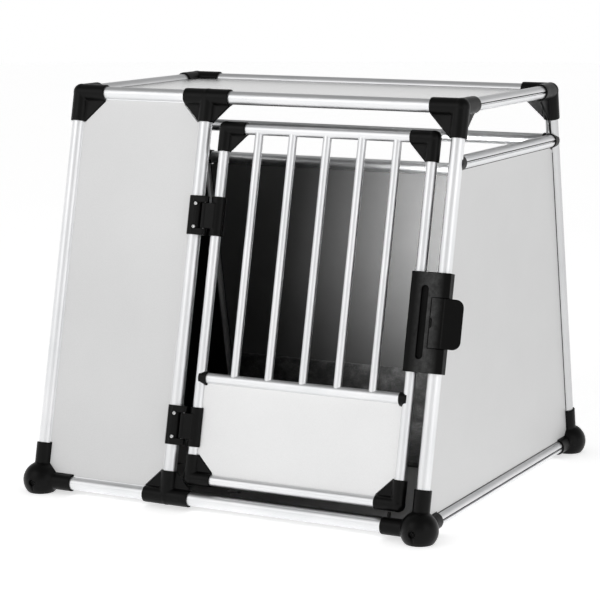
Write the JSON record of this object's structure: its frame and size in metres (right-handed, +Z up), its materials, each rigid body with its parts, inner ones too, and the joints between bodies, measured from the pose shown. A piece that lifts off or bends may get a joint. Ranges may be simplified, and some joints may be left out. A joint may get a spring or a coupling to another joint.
{
  "type": "dog_travel_crate",
  "caption": "Dog travel crate of aluminium tube with black moulded connectors and ball feet, light composite panels, and a barred front door with clamp hinges and a large latch",
  "frame": {"origin": "on the ground, midway between the four ball feet", "axes": "X to the right seen from the front, Y from the front to the rear, Z up"},
  "size_m": [0.878, 0.8388, 0.7781],
  "materials": {
    "anodised_aluminium": "satin anodised tube",
    "black_plastic": "fine satin moulding",
    "silver_panel": "light silver coat outside, gloss black inside",
    "grey_floor_panel": "smooth dark grey",
    "floor_mat_fabric": "short fleece",
    "bright_steel": "bright zinc",
    "sill_rubber": "matt black",
    "blackened_steel": "black oxide"
  },
  "bodies": {
    "crate": {"corner_top_front_left": "black_plastic", "corner_top_front_right": "black_plastic", "corner_top_rear_left": "black_plastic", "corner_top_rear_right": "black_plastic", "door_sill": "sill_rubber", "floor_mat": "floor_mat_fabric", "foot_front_left": "black_plastic", "foot_front_right": "black_plastic", "foot_rear_left": "black_plastic", "foot_rear_right": "black_plastic", "frame_screws": "bright_steel", "hinge_pins": "bright_steel", "hinge_post_clamps": "black_plastic", "panel_floor": "grey_floor_panel", "panel_front_left": "silver_panel", "panel_left": "silver_panel", "panel_rear": "silver_panel", "panel_right": "silver_panel", "panel_roof": "silver_panel", "rail_bottom_front_left": "anodised_aluminium", "rail_bottom_front_right": "anodised_aluminium", "rail_bottom_left": "anodised_aluminium", "rail_bottom_rear": "anodised_aluminium", "rail_bottom_right": "anodised_aluminium", "rail_end_flanges": "black_plastic", "rail_middle_left": "anodised_aluminium", "rail_middle_rear": "anodised_aluminium", "rail_middle_right": "anodised_aluminium", "rail_panel_rear": "anodised_aluminium", "rail_top_front_left": "anodised_aluminium", "rail_top_front_right": "anodised_aluminium", "rail_top_left": "anodised_aluminium", "rail_top_rear": "anodised_aluminium", "rail_top_right": "anodised_aluminium", "tee_post_bottom": "black_plastic", "tee_post_top": "black_plastic", "upright_door_post": "anodised_aluminium", "upright_front_left": "anodised_aluminium", "upright_front_right": "anodised_aluminium", "upright_rear_left": "anodised_aluminium", "upright_rear_right": "anodised_aluminium"},
    "door": {"door_bars": "anodised_aluminium", "door_corner_bottom_left": "black_plastic", "door_corner_bottom_right": "black_plastic", "door_corner_top_left": "black_plastic", "door_corner_top_right": "black_plastic", "door_panel": "silver_panel", "door_rail_bottom": "anodised_aluminium", "door_rail_flanges": "black_plastic", "door_rail_middle": "anodised_aluminium", "door_rail_top": "anodised_aluminium", "door_stile_left": "anodised_aluminium", "door_stile_right": "anodised_aluminium", "hinge_door_leaves": "black_plastic", "latch_screws": "bright_steel", "latch_pin": "blackened_steel", "latch_housing": "black_plastic", "latch_rear_clamp": "black_plastic", "latch_spring": "blackened_steel"},
    "latch_lever": {"latch_lever": "black_plastic"}
  },
  "joints": [
    {"name": "door_hinge", "type": "hinge", "parent": "crate", "child": "door", "pos_m": [-0.094, -0.32078, 0.35066], "axis": [0, -0.222, -0.9751], "range_deg": [0, 120]},
    {"name": "latch_lever_hinge", "type": "hinge", "parent": "door", "child": "latch_lever", "pos_m": [0.3896, -0.32116, 0.38638], "axis": [0, -0.222, -0.9751], "range_deg": [0, 25], "stiffness_Nm_per_rad": 0.15, "springref_deg": -9.74}
  ]
}
